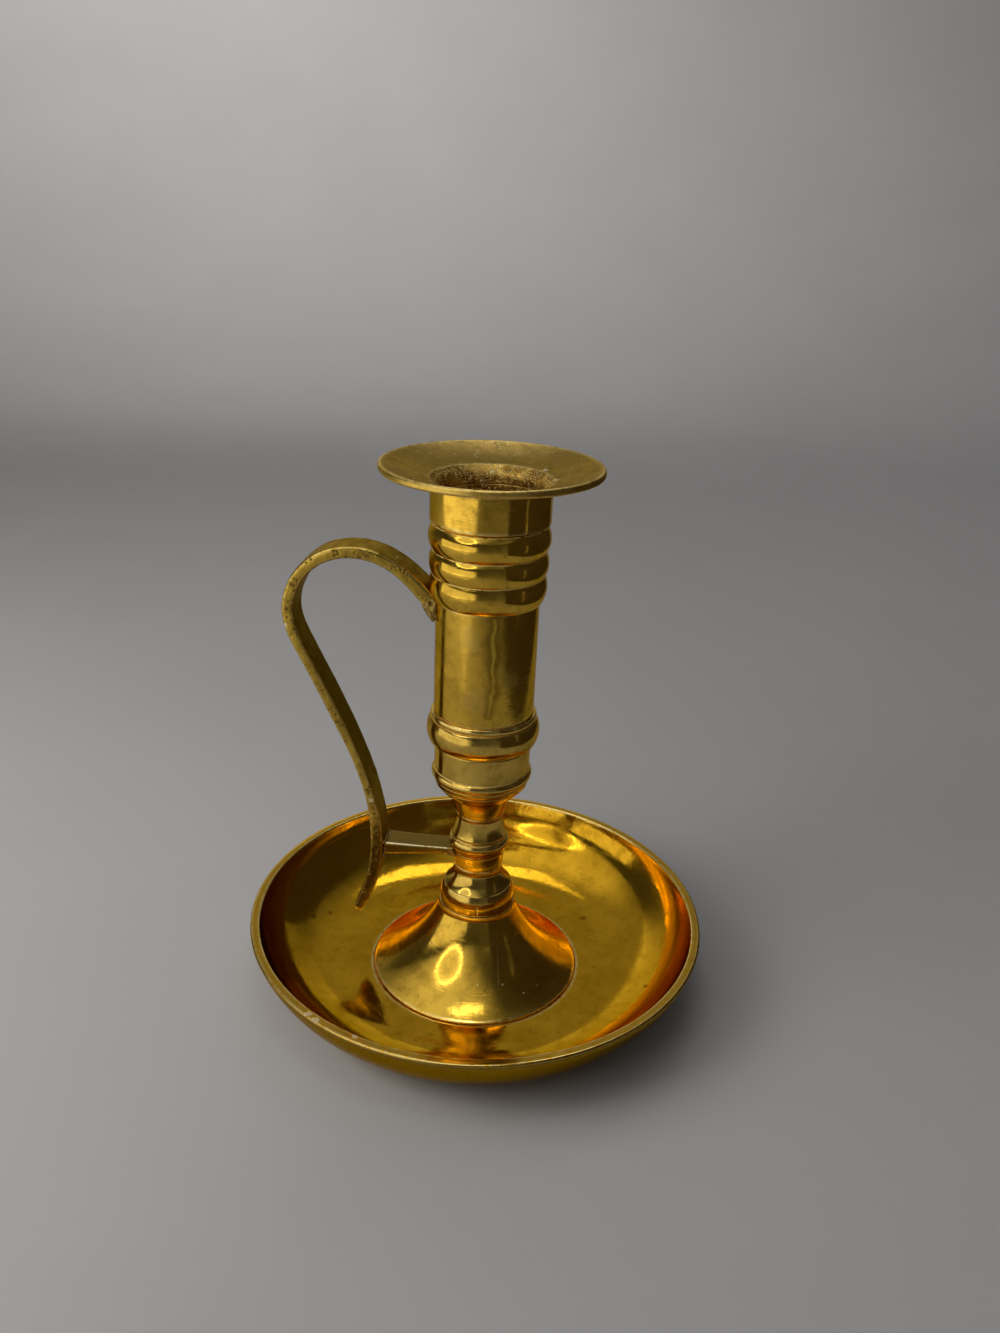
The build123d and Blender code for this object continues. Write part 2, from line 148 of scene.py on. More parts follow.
tube_stain = ((2.8, -11.5, 101.5), (3.1, -11.5, 90.0), (2.6, -11.6, 78.5))
tube_wash = ((-2.3, -11.6, 96.4, 4.0), (7.1, -9.5, 86.7, 4.0), (-0.8, -11.8, 82.1, 4.5))
strap_nicks = (
    (-26.5, -4.0, 49.3, 0.8), (-26.6, -3.8, 38.9, 0.5), (-20.7, -0.9, 110.8, 0.5), (-46.3, -4.0, 93.6, 0.6),
)
# Places of painted glints on the strut
strut_painted_glints = ((-23.6, -3.5, 35.0, 0.9), (-23.1, 1.5, 37.2, 0.6))

# Brass where it is clean and where it is tarnished, and its tint at a flat angle
pan_tone = {"clean": (0.83, 0.46, 0.024), "dull": (0.50, 0.26, 0.010)}
stem_tone = {"clean": (0.80, 0.50, 0.060), "dull": (0.34, 0.20, 0.022)}
low_tone = {"clean": (0.78, 0.52, 0.10), "dull": (0.34, 0.21, 0.035)}
bar_tone = {"clean": (0.58, 0.38, 0.055), "dull": (0.28, 0.17, 0.025)}
flange_tone = {"clean": (0.42, 0.29, 0.085), "dull": (0.20, 0.14, 0.045)}
edge_tint = (0.88, 0.70, 0.38)

# Colours of wear, dirt and marks, with painted shade, painted highlights and painted glints among them
worn_edge = (0.97, 0.80, 0.34)
# Grime, partly painted shade: it darkens hollows, grooves and the gaps between parts
grime_and_shade = (0.16, 0.08, 0.012)
# Polish residue, partly a painted highlight: pale lines at the joints and in hollows
polish_residue_and_highlight = (0.88, 0.66, 0.22)
brown_speck = (0.12, 0.07, 0.01)
# The pan's outer wall: partly tarnish, partly painted shade
pan_outside_dull_and_shade = (0.30, 0.175, 0.022)
pan_spot = (0.13, 0.06, 0.005)
pale_scuff = (0.92, 0.80, 0.55)
cone_pale = (0.90, 0.74, 0.40)
collar_pale = (0.92, 0.78, 0.50)
bore_dark = (0.32, 0.17, 0.02)
bore_gold = (0.80, 0.54, 0.12)
bore_dots = (0.97, 0.84, 0.45)
bore_run = (0.90, 0.78, 0.45)
flange_speck = (0.95, 0.80, 0.42)
flange_underside = (0.72, 0.46, 0.06)
mouth_pale = (0.92, 0.84, 0.60)
wash_gold = (0.60, 0.42, 0.12)
stain_head = (0.26, 0.155, 0.018)
stain_run = (0.24, 0.14, 0.014)
stain_core = (0.94, 0.64, 0.07)
satin_dark = (0.25, 0.16, 0.03)
satin_gold = (0.45, 0.31, 0.065)
# Painted shade on the broad faces inside the handle loop
strap_inside_shade = (0.14, 0.085, 0.015)
strap_pale = (0.95, 0.82, 0.50)
pit_brown = (0.14, 0.08, 0.015)
# Painted shade on the strut's top face
strut_top_shade = (0.19, 0.13, 0.045)
# Painted highlight along the strut's rounded top edge
strut_ridge_highlight = (0.95, 0.86, 0.58)
# Colour of the painted glints
strut_painted_glint = (0.80, 0.85, 0.88)

# Colours of the steel and the solder
zinc_dark = (0.34, 0.33, 0.32)
zinc_light = (0.62, 0.61, 0.60)
rust_brown = (0.16, 0.07, 0.03)
solder_dark = (0.20, 0.12, 0.02)
solder_gold = (0.42, 0.28, 0.06)
solder_bloom = (0.86, 0.70, 0.38)
flux_brown = (0.10, 0.055, 0.015)

# Stage: a floor that bends up into a wall, and a card at the right
stage_around = 96
floor_rings = 10
floor_start = 0.05
floor_radius = 0.75
wall_bend = 0.5
wall_top = 0.72
bend_steps = 16
paper_dark = (0.33, 0.33, 0.34)
paper_light = (0.37, 0.37, 0.38)
stage_gap = 0.001
flag_right = 0.16
flag_near = -0.2
flag_far = 0.3
flag_top = 0.24
card_dark = (0.045, 0.034, 0.022)
card_light = (0.065, 0.05, 0.034)

# Lamps: what most of them point at, the window's rings, and how bright its middle is beside its rim
middle = (0.0, 0.0, 0.06)
lamp_colour = (1.0, 0.96, 0.90)
window_around = 64
window_rings = (0.4, 0.78, 0.86, 1.0)
window_rim_start = 0.8
window_middle = 0.26

# World: its colour, its least strength, and glows with a direction, a start and a height each
world_colour = (1.0, 0.98, 0.95)
world_strength = 0.05
world_glows = (
    ((-0.44, -0.38, 0.81), 0.62, 0.68), ((-0.25, 0.60, 0.76), 0.5, 0.2), ((0.58, -0.78, 0.24), 0.8, 0.16),
)


# Meshes


def new_piece(name, places, faces):
    """Makes a smooth mesh object from places and faces."""
    mesh = bpy.data.meshes.new(name)
    mesh.from_pydata([tuple(place) for place in places], [], [tuple(face) for face in faces])
    mesh.polygons.foreach_set("use_smooth", [True] * len(mesh.polygons))
    mesh.update()
    piece = bpy.data.objects.new(name, mesh)
    scene.collection.objects.link(piece)
    return piece


def set_attribute(piece, name, values):
    """Writes one number for each vertex, which the materials read by name."""
    attribute = piece.data.attributes.new(name, "FLOAT", "POINT")
    attribute.data.foreach_set("value", np.asarray(values, dtype=np.float32))


def vertex_places(mesh):
    """The vertex places of a mesh as an array."""
    places = np.zeros(len(mesh.vertices) * 3)
    mesh.vertices.foreach_get("co", places)
    return places.reshape(-1, 3)


def vertex_normals(mesh):
    """The vertex normals of a mesh as an array."""
    normals = np.zeros(len(mesh.vertices) * 3, dtype=np.float32)
    mesh.vertex_normals.foreach_get("vector", normals)
    return normals.reshape(-1, 3)


def edge_ends(mesh):
    """The two vertices of each edge as an array."""
    ends = np.zeros(len(mesh.edges) * 2, dtype=np.int32)
    mesh.edges.foreach_get("vertices", ends)
    return ends.reshape(-1, 2)


def wobble(places, wavelength, seed):
    """A smooth random height of about -1 to 1 for each place, as a sum of waves."""
    chance = np.random.default_rng(seed)
    directions = chance.normal(size=(wobble_waves, 3))
    directions /= np.linalg.norm(directions, axis=1, keepdims=True)
    lengths = wavelength * chance.uniform(*wobble_spread, wobble_waves)
    phases = chance.uniform(0, 2 * math.pi, wobble_waves)
    waves = np.sin(places @ (directions * 2 * math.pi / lengths[:, None]).T + phases)
    return waves.sum(axis=1) / math.sqrt(wobble_waves)


def soft_step(values, low, high):
    """Goes smoothly from 0 at low to 1 at high."""
    share = np.clip((values - low) / (high - low), 0, 1)
    return share * share * (3 - 2 * share)


# Outlines of the turned pieces


def seam_outline(node):
    """The closed outline (radius, height) of a turned node, read along the seam of its mesh.

    A flat ring has no edge along the seam, so the loose ends at one height are joined in pairs.
    """
    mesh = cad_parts[node].data
    places = vertex_places(mesh)
    near = 2e-6
    known = {}
    points = []
    which = {}
    for index in np.flatnonzero((np.abs(places[:, 1]) < near) & (places[:, 0] > 0)):
        cell = (round(places[index, 0] / near), round(places[index, 2] / near))
        around = [(cell[0] + i, cell[1] + j) for i in (0, -1, 1) for j in (0, -1, 1)]
        found = [known[key] for key in around if key in known]
        if not found:
            known[cell] = len(points)
            points.append(Vector((places[index, 0], places[index, 2])))
        which[int(index)] = found[0] if found else known[cell]
    links = {i: set() for i in range(len(points))}
    for a, b in edge_ends(mesh).tolist():
        if a in which and b in which and abs(points[which[a]].y - points[which[b]].y) > near:
            links[which[a]].add(which[b])
            links[which[b]].add(which[a])
    loose = sorted((round(points[i].y / near), points[i].x, i) for i in links if len(links[i]) == 1)
    for first, second in zip(loose[::2], loose[1::2]):
        links[first[2]].add(second[2])
        links[second[2]].add(first[2])
    start = next(i for i in links if len(links[i]) == 2)
    walk = [start]
    onward = min(links[start])
    while onward != start:
        walk.append(onward)
        onward = next(i for i in links[onward] if i != walk[-2])
    outline = [points[i] for i in walk]
    area = sum(p.x * q.y - q.x * p.y for p, q in zip(outline, outline[1:] + outline[:1]))
    return outline if area > 0 else outline[::-1]


def softened(outline, rounding):
    """Rounds the hard corners of an outline and lays an even, smooth curve through the rest."""
    count = len(outline)
    legs = [outline[(i + 1) % count] - outline[i] for i in range(count)]
    stops = []
    for i, corner in enumerate(outline):
        before, after = legs[i - 1], legs[i]
        turn = abs(math.atan2(before.x * after.y - before.y * after.x, before.dot(after)))
        arrive, leave = before.normalized(), after.normalized()
        if turn > corner_angle:
            cut = min(rounding * math.tan(turn / 2), corner_share * min(before.length, after.length))
            for k in range(corner_steps + 1):
                share = k / corner_steps
                place = corner - arrive * cut * (1 - share) ** 2 + leave * cut * share ** 2
                stops.append((place, (arrive * (1 - share) + leave * share).normalized()))
        elif after.length > line_ratio * before.length:
            stops.append((corner, leave))
        elif before.length > line_ratio * after.length:
            stops.append((corner, arrive))
        else:
            stops.append((corner, (arrive * after.length + leave * before.length).normalized()))
    samples = []
    for (here, go), (there, come) in zip(stops, stops[1:] + stops[:1]):
        length = (there - here).length
        steps = max(1, math.ceil(length / ring_spacing))
        for k in range(steps):
            t = k / steps
            samples.append(
                here * (2 * t**3 - 3 * t**2 + 1) + there * (3 * t**2 - 2 * t**3)
                + go * length * (t**3 - 2 * t**2 + t) + come * length * (t**3 - t**2)
            )
    return np.array([tuple(sample) for sample in samples])


def scribed(samples, heights):
    """Cuts a fine turned line into the outer side of an outline at each height."""
    for height in heights:
        after = np.roll(samples, -1, axis=0)
        crossing = (samples[:, 1] - height) * (after[:, 1] - height) <= 0
        found = max(np.flatnonzero(crossing), key=lambda i: samples[i, 0])
        start, end = samples[found], after[found]
        along = (end - start) / np.linalg.norm(end - start)
        centre = start + (end - start) * (height - start[1]) / (end[1] - start[1])
        inward = np.array([-along[1], along[0]])
        cut = []
        for share in np.linspace(-1, 1, scribe_points):
            deep = scribe_depth * math.cos(share * math.pi / 2)
            cut.append(centre + along * scribe_half * share + inward * deep)
        away = np.linalg.norm(samples - centre, axis=1) > scribe_clear * scribe_half
        head = samples[:found + 1][away[:found + 1]]
        tail = samples[found + 1:][away[found + 1:]]
        samples = np.vstack([head, cut, tail])
    return samples


def around_loop(samples, lengths, total, shift):
    """The places on a closed outline that lie a given way further along."""
    wanted = (lengths + shift) % total
    closed = np.vstack([samples, samples[:1]])
    marks = np.append(lengths, total)
    return np.stack([np.interp(wanted, marks, closed[:, 0]), np.interp(wanted, marks, closed[:, 1])], axis=1)


def outline_detail(samples, others):
    """For each point of an outline: its normal, its way along, its wear, its soil and painted shade, and its
    freedom.
    """
    steps = np.linalg.norm(np.roll(samples, -1, axis=0) - samples, axis=1)
    lengths = np.concatenate([[0], np.cumsum(steps)[:-1]])
    total = steps.sum()
    slope = around_loop(samples, lengths, total, slope_reach)
    slope -= around_loop(samples, lengths, total, -slope_reach)
    slope /= np.linalg.norm(slope, axis=1, keepdims=True) + 1e-12
    normals = np.stack([slope[:, 1], -slope[:, 0]], axis=1)
    behind = around_loop(samples, lengths, total, -edge_reach)
    ahead = around_loop(samples, lengths, total, edge_reach)
    chord = ahead - behind
    chord /= np.linalg.norm(chord, axis=1, keepdims=True) + 1e-12
    across = np.stack([chord[:, 1], -chord[:, 0]], axis=1)
    bulge = ((samples - (behind + ahead) / 2) * across).sum(axis=1) / edge_reach
    gaps = np.linalg.norm(samples[:, None, :] - others[None, :, :], axis=2).min(axis=1)
    wear = soft_step(bulge, *worn_bulge) * soft_step(gaps, *worn_gap)
    # Soil and painted shade: the hollows, and the gaps between parts
    soil_and_shade = np.maximum(soft_step(-bulge, *soiled_and_shaded_hollow), 1 - soft_step(gaps, *soiled_and_shaded_gap))
    return normals, lengths, wear, soil_and_shade, soft_step(gaps, *free_gap)


def spin(name, samples, others, height, seed):
    """Turns an outline round the Z axis, with faint unevenness and numbers for the material."""
    normals, lengths, wear, soil_and_shade, free = outline_detail(samples, others)
    angles = np.arange(ring_count) * 2 * math.pi / ring_count
    rings = len(samples)
    flat = np.stack([np.cos(angles), np.sin(angles)], axis=1)
    places = np.zeros((rings, ring_count, 3))
    places[:, :, :2] = samples[:, 0][:, None, None] * flat[None]
    places[:, :, 2] = samples[:, 1][:, None]
    outward = np.zeros((rings, ring_count, 3))
    outward[:, :, :2] = normals[:, 0][:, None, None] * flat[None]
    outward[:, :, 2] = normals[:, 1][:, None]
    free = free * soft_step(samples[:, 1], *free_height)
    lift = wobble(places.reshape(-1, 3), wobble_length, seed).reshape(rings, ring_count)
    places += outward * (lift * height * free[:, None])[:, :, None]
    first = np.arange(rings)[:, None] * ring_count + np.arange(ring_count)[None]
    right = np.roll(first, -1, axis=1)
    faces = np.stack([first, right, np.roll(right, -1, axis=0), np.roll(first, -1, axis=0)], axis=2)
    piece = new_piece(name, places.reshape(-1, 3), faces.reshape(-1, 4).tolist())
    set_attribute(piece, "wear", np.repeat(wear, ring_count))
    set_attribute(piece, "soil_and_shade", np.repeat(soil_and_shade, ring_count))
    set_attribute(piece, "run", np.repeat(lengths * 1000, ring_count))
    set_attribute(piece, "inward", np.repeat(soft_step(-normals[:, 0], *inward_side), ring_count))
    set_attribute(piece, "outward", np.repeat(soft_step(normals[:, 0], *outward_side), ring_count))
    return piece


# Bars and solder


def neighbour_mean(values, ends, counts):
    """The mean of each vertex's neighbours."""
    total = np.zeros_like(values)
    np.add.at(total, ends[:, 0], values[ends[:, 1]])
    np.add.at(total, ends[:, 1], values[ends[:, 0]])
    return total / counts[:, None]


def remade(name, node, voxel, rounds, bumps, seed):
    """Copies a node as an even, softened mesh, with its dents and numbers for the material.

    Each entry of bumps is a wavelength and a height.
    """
    source = bpy.data.objects.new(name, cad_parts[node].data.copy())
    scene.collection.objects.link(source)
    remesh = source.modifiers.new("even", "REMESH")
    remesh.mode = "VOXEL"
    remesh.voxel_size = voxel
    bpy.context.view_layer.update()
    seen = source.evaluated_get(bpy.context.evaluated_depsgraph_get())
    mesh = bpy.data.meshes.new_from_object(seen)
    bpy.data.objects.remove(source)
    mesh.name = name
    piece = bpy.data.objects.new(name, mesh)
    scene.collection.objects.link(piece)
    places = vertex_places(mesh)
    ends = edge_ends(mesh)
    counts = np.maximum(np.bincount(ends.ravel(), minlength=len(places)), 1)
    for _ in range(rounds):
        places += shrink_share * (neighbour_mean(places, ends, counts) - places)
        places -= swell_share * (neighbour_mean(places, ends, counts) - places)
    mesh.vertices.foreach_set("co", places.ravel())
    mesh.update()
    normals = vertex_normals(mesh)
    curve = -((neighbour_mean(places, ends, counts) - places) * normals).sum(axis=1) / voxel
    for _ in range(curve_rounds):
        curve = 0.5 * curve + 0.5 * neighbour_mean(curve[:, None], ends, counts)[:, 0]
    height = sum(deep * wobble(places, length, seed + k) for k, (length, deep) in enumerate(bumps))
    places += normals * height[:, None]
    mesh.vertices.foreach_set("co", places.ravel())
    mesh.polygons.foreach_set("use_smooth", [True] * len(mesh.polygons))
    mesh.materials.clear()
    mesh.update()
    inside = loop_middle - places
    inside /= np.linalg.norm(inside, axis=1, keepdims=True)
    set_attribute(piece, "wear", soft_step(curve, *worn_curve))
    # Soil and painted shade in the hollows of a bar or a run of solder
    set_attribute(piece, "soil_and_shade", soft_step(-curve, *soiled_and_shaded_curve))
    set_attribute(piece, "narrow", soft_step(np.abs(normals[:, 1]), *narrow_side))
    set_attribute(piece, "inside", soft_step((inside * normals).sum(axis=1), *inside_side))
    return piece


# Hidden steel: the rod, its nuts and its washers


def grid_piece(name, rings, closed):
    """Makes a piece from rings of places, joined ring to ring, with closed or capped ends."""
    rings = np.asarray(rings)
    count, around = rings.shape[:2]
    first = np.arange(count)[:, None] * around + np.arange(around)[None]
    right = np.roll(first, -1, axis=1)
    up, up_right = np.roll(first, -1, axis=0), np.roll(right, -1, axis=0)
    faces = np.stack([first, right, up_right, up], axis=2)
    faces = faces if closed else faces[:-1]
    faces = faces.reshape(-1, 4).tolist()
    if not closed:
        faces.append(first[0][::-1].tolist())
        faces.append(first[-1].tolist())
    return new_piece(name, rings.reshape(-1, 3), faces)


def threaded_rod(name, node):
    """A rod with a rolled thread at each end and a plain shank between."""
    low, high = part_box(node)
    radius = (high[0] - low[0]) / 2
    bottom, top = low[2], high[2]
    angles = np.arange(rod_around) * 2 * math.pi / rod_around
    rise = thread_pitch / thread_steps
    levels = np.concatenate([
        np.arange(bottom, bottom + thread_length, rise),
        np.linspace(bottom + thread_length, top - thread_length, shank_levels),
        np.arange(top - thread_length + rise, top, rise), [top],
    ])
    rings = []
    for level in levels:
        phase = (level / thread_pitch - angles / (2 * math.pi)) % 1
        groove = 0.5 + 0.5 * np.cos(2 * math.pi * phase)
        from_end = min(level - bottom, top - level)
        run_out = soft_step(np.array(from_end), thread_length - 2 * thread_pitch, thread_length)
        radii = radius - thread_depth * (1 - run_out) * groove
        radii = np.minimum(radii, radius - max(0, rod_chamfer - from_end))
        level_ring = np.full_like(angles, level)
        rings.append(np.stack([radii * np.cos(angles), radii * np.sin(angles), level_ring], axis=1))
    return grid_piece(name, rings, closed=False)


def hex_nut(name, node):
    """A six-sided nut with its corners turned off and its bore eased."""
    low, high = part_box(node)
    bottom, top = low[2], high[2]
    half_flat = min(high[0] - low[0], high[1] - low[1]) / 2
    across_y = high[1] - low[1] < high[0] - low[0]
    angles = np.arange(nut_around) * 2 * math.pi / nut_around
    sixth = math.pi / 3
    offset = 0.0 if across_y else sixth / 2
    hexagon = half_flat / np.cos((angles + offset + sixth / 2) % sixth - sixth / 2)
    ones = np.ones_like(angles)
    bore, mouth = ones * nut_bore, ones * (nut_bore + nut_ease)
    crown = ones * nut_crown_share * half_flat
    soft = hexagon - nut_edge
    drop = np.maximum(hexagon - crown, 0) * nut_crown_slope
    shoulder, corner = drop * nut_shoulder_share, drop + nut_side_gap
    steps = [
        (bore, ones * (top - nut_ease)), (mouth, ones * top), (crown, ones * top),
        (soft, top - shoulder), (hexagon, top - corner), (hexagon, bottom + corner),
        (soft, bottom + shoulder), (crown, ones * bottom), (mouth, ones * bottom),
        (bore, ones * (bottom + nut_ease)),
    ]
    rings = [np.stack([r * np.cos(angles), r * np.sin(angles), z], axis=1) for r, z in steps]
    return grid_piece(name, rings[::-1], closed=True)


# Materials


def with_alpha(colour):
    """Gives a plain colour the fourth number that a socket needs, and passes an output on."""
    return (*colour, 1.0) if isinstance(colour, tuple) else colour


class Nodes:
    """A node tree in the making: each call adds a node or a few, and gives back an output."""

    def __init__(self, tree):
        self.tree = tree

    def fill(self, socket, value):
        """Gives a socket a value, or joins it to an output."""
        if isinstance(value, bpy.types.NodeSocket):
            self.tree.links.new(value, socket)
        else:
            socket.default_value = value

    def add(self, kind, output, inputs, **settings):
        made = self.tree.nodes.new(kind)
        for key, value in settings.items():
            setattr(made, key, value)
        for key, value in inputs.items():
            self.fill(made.inputs[key], value)
        return made.outputs[output]

    def maths(self, operation, first, second=0.0, third=0.0):
        return self.add("ShaderNodeMath", 0, {0: first, 1: second, 2: third}, operation=operation)

    def product(self, first, second):
        return self.maths("MULTIPLY", first, second)

    def inverse(self, share):
        return self.maths("SUBTRACT", 1.0, share)

    def dot(self, first, second):
        return self.add("ShaderNodeVectorMath", "Value", {0: first, 1: second}, operation="DOT_PRODUCT")

    def step(self, value, low, high, start=0.0, end=1.0):
        """Goes smoothly from start at low to end at high."""
        inputs = {"Value": value, "From Min": low, "From Max": high, "To Min": start, "To Max": end}
        return self.add("ShaderNodeMapRange", 0, inputs, interpolation_type="SMOOTHSTEP")


class Shader(Nodes):
    """A material in the making, with its main surface."""

    def __init__(self, name):
        self.material = bpy.data.materials.new(name)
        self.material.use_nodes = True
        super().__init__(self.material.node_tree)
        self.surface = self.tree.nodes["Principled BSDF"]

    def place(self):
        return self.add("ShaderNodeTexCoord", "Object", {})

    def number(self, name):
        """A number that the mesh carries at each vertex."""
        return self.add("ShaderNodeAttribute", "Fac", {}, attribute_name=name)

    def vector(self, operation, first, second):
        return self.add("ShaderNodeVectorMath", 0, {0: first, 1: second}, operation=operation)

    def distance(self, first, second):
        return self.add("ShaderNodeVectorMath", "Value", {0: first, 1: second}, operation="DISTANCE")

    def noise(self, where, scale, detail=3.0, roughness=0.55, distortion=0.0):
        inputs = {"Vector": where, "Scale": scale, "Detail": detail, "Roughness": roughness}
        inputs["Distortion"] = distortion
        return self.add("ShaderNodeTexNoise", "Fac", inputs)

    def cells(self, where, scale):
        """How far a place is from the middle of its cell."""
        return self.add("ShaderNodeTexVoronoi", "Distance", {"Vector": where, "Scale": scale})

    def colours(self, share, first, second):
        inputs = {0: share, 6: with_alpha(first), 7: with_alpha(second)}
        return self.add("ShaderNodeMix", 2, inputs, data_type="RGBA")

    def stain(self, colour, share, amount, tint):
        """Lays a tint over a colour, by the given amount where share is 1."""
        return self.colours(self.product(share, amount), colour, tint)

    def rougher(self, rough, share, amount):
        """Adds an amount of roughness where share is 1."""
        return self.maths("MULTIPLY_ADD", share, amount, rough)

    def bump(self, height, distance, normal=None):
        inputs = {"Height": height, "Distance": distance, "Strength": 1.0}
        if normal is not None:
            inputs["Normal"] = normal
        return self.add("ShaderNodeBump", 0, inputs)

    def ragged(self, scale, reach):
        """The place, shifted about by noise, which gives a mark an uneven edge."""
        inputs = {"Vector": self.place(), "Scale": scale, "Detail": 3.0}
        shift = self.vector("SUBTRACT", self.add("ShaderNodeTexNoise", "Color", inputs), (0.5, 0.5, 0.5))
        return self.vector("ADD", self.place(), self.vector("MULTIPLY", shift, (reach, reach, reach)))

    def streak(self, stops, half, reach=0.0006):
        """1 along a line through places in millimetres, and 0 away from it."""
        where = self.ragged(300.0, reach)
        found = 0.0
        for start, stop in zip(stops, stops[1:]):
            start, stop = Vector(start) / 1000, Vector(stop) / 1000
            run = stop - start
            offset = self.vector("SUBTRACT", where, tuple(start))
            share = self.add("ShaderNodeClamp", 0, {0: self.dot(offset, tuple(run / run.length_squared))})
            foot = self.add("ShaderNodeVectorMath", 0, {0: tuple(run), "Scale": share}, operation="SCALE")
            found = self.maths("MAXIMUM", found, self.step(self.distance(offset, foot), half, half * 0.2))
        return found

    def marks(self, places, scale, reach):
        """1 inside the marks and 0 outside: each is a place and a radius, in millimetres."""
        where = self.ragged(scale, reach)
        found = 0.0
        for x, y, z, radius in places:
            away = self.distance(where, (x / 1000, y / 1000, z / 1000))
            found = self.maths("MAXIMUM", found, self.step(away, radius / 1000, radius / 2500))
        return found

    def turned(self, around, along):
        """Coordinates that follow a turned surface: round the axis, and along its outline."""
        flat = self.vector("MULTIPLY", self.place(), (1.0, 1.0, 0.0))
        heading = self.vector("NORMALIZE", flat, (0.0, 0.0, 0.0))
        heading = self.vector("MULTIPLY", heading, (around, around, 0.0))
        run = self.product(self.number("run"), along)
        return self.vector("ADD", heading, self.add("ShaderNodeCombineXYZ", 0, {2: run}))

    def finish(self, colour, roughness, normal, metallic=1.0, anisotropic=0.0):
        """Joins the main results to the surface."""
        self.fill(self.surface.inputs["Base Color"], with_alpha(colour))
        self.fill(self.surface.inputs["Roughness"], roughness)
        self.fill(self.surface.inputs["Normal"], normal)
        self.fill(self.surface.inputs["Metallic"], metallic)
        self.surface.inputs["Anisotropic"].default_value = anisotropic
        return self.material


def brass(name, clean, dull, roughness, dulling=0.5, turning_lines=True, extra=None):
    """Old polished brass: cloudy tarnish, turning lines, scratches, bright edges, grime that is partly
    painted shade in hollows and gaps, and polish residue that is partly a painted highlight.
    """
    shader = Shader(name)
    place = shader.place()
    wear = shader.number("wear")
    soil_and_shade = shader.number("soil_and_shade")
    cloud = shader.noise(place, 85.0, detail=5.0, roughness=0.6, distortion=0.4)
    patch = shader.noise(place, 320.0, detail=4.0, roughness=0.65, distortion=0.2)
    fine = shader.noise(place, 2600.0, roughness=0.6)
    clouds = shader.product(shader.step(cloud, 0.36, 0.7), dulling)
    patches = shader.product(shader.step(patch, 0.45, 0.68), dulling * 0.7)
    tarnish = shader.product(shader.maths("ADD", clouds, patches), shader.inverse(wear))
    colour = shader.colours(tarnish, clean, dull)
    rough = shader.rougher(roughness, tarnish, 0.13)
    rough = shader.maths("ADD", rough, shader.step(patch, 0.3, 0.75, -0.02, 0.03))

    bright = shader.product(wear, shader.step(shader.noise(place, 700.0), 0.3, 0.55))
    colour = shader.stain(colour, bright, 0.7, worn_edge)
    rough = shader.rougher(rough, bright, 0.1)

    smear = shader.noise(place, 420.0, detail=4.0, roughness=0.7)
    # Grime in hollows and gaps, partly painted shade that darkens the grooves and joints
    dirt_and_shade = shader.product(soil_and_shade, shader.step(smear, 0.3, 0.7))
    colour = shader.stain(colour, dirt_and_shade, 0.7, grime_and_shade)
    # Polish residue in hollows and gaps, partly a painted highlight: pale lines at the joints
    residue_and_highlight = shader.product(shader.step(soil_and_shade, 0.6, 0.9), shader.step(patch, 0.36, 0.5))
    colour = shader.stain(colour, residue_and_highlight, 0.75, polish_residue_and_highlight)
    rough = shader.maths("ADD", rough, shader.product(shader.maths("MAXIMUM", dirt_and_shade, residue_and_highlight), 0.3))
    speck = shader.step(shader.cells(place, 420.0), 0.16, 0.08)
    speck = shader.product(speck, shader.step(patch, 0.5, 0.62))
    colour = shader.stain(colour, speck, 0.5, brown_speck)

    normal = shader.bump(cloud, 0.00008)
    normal = shader.bump(fine, 0.0000016, normal)
    if turning_lines:
        line = shader.noise(shader.turned(around=1.2, along=4.0), 1.0, roughness=0.7)
        groove = shader.step(line, 0.6, 0.78)
        normal = shader.bump(line, 0.000004, normal)
        normal = shader.bump(groove, 0.000007, normal)
        rough = shader.rougher(rough, groove, 0.06)
        tangent = shader.add("ShaderNodeTangent", 0, {}, direction_type="RADIAL", axis="Z")
        shader.fill(shader.surface.inputs["Tangent"], tangent)
    stretch = shader.vector("MULTIPLY", place, (2600.0, 900.0, 160.0))
    hair = shader.noise(stretch, 1.0, detail=2.0, roughness=0.5, distortion=1.4)
    scratch = shader.step(hair, 0.66, 0.78)
    normal = shader.bump(scratch, 0.000004, normal)
    rough = shader.rougher(rough, scratch, 0.06)

    if extra:
        colour, rough, normal = extra(shader, colour, rough, normal)
    rough = shader.add("ShaderNodeClamp", 0, {0: rough, 1: 0.06, 2: 0.8})
    # The residue, partly a painted highlight, is less metallic, so it shows paler
    metallic = shader.maths("MULTIPLY_ADD", residue_and_highlight, -0.4, 1.0)
    shader.surface.inputs["Specular Tint"].default_value = with_alpha(edge_tint)
    return shader.finish(colour, rough, normal, metallic, anisotropic=0.3 if turning_lines else 0.0)


def pan_extra(shader, colour, rough, normal):
    """A duller, darker outside, partly tarnish and partly painted shade, dark spots on the floor, and pale
    scuffs on the rim.
    """
    outward = shader.number("outward")
    # The outside is darkened: partly tarnish, partly painted shade
    colour = shader.stain(colour, outward, 0.8, pan_outside_dull_and_shade)
    rough = shader.rougher(rough, outward, 0.12)
    spot = shader.marks(pan_spots, 900.0, 0.0006)
    colour = shader.stain(colour, spot, 0.75, pan_spot)
    scuff = shader.marks(rim_scuffs, 1400.0, 0.0016)
    colour = shader.stain(colour, scuff, 0.8, pale_scuff)
    rough = shader.rougher(rough, shader.maths("MAXIMUM", spot, scuff), 0.3)
    return colour, rough, shader.bump(scuff, -0.00008, normal)


def cone_extra(shader, colour, rough, normal):
    """A pale streak down the front and a few specks."""
    speck = shader.marks(cone_specks, 1200.0, 0.0006)
    streak = shader.streak(cone_streak, 0.00022)
    pale = shader.maths("MAXIMUM", speck, shader.product(streak, 0.5))
    colour = shader.stain(colour, pale, 0.7, cone_pale)
    rough = shader.rougher(rough, pale, 0.22)
    return colour, rough, shader.bump(pale, 0.00002, normal)


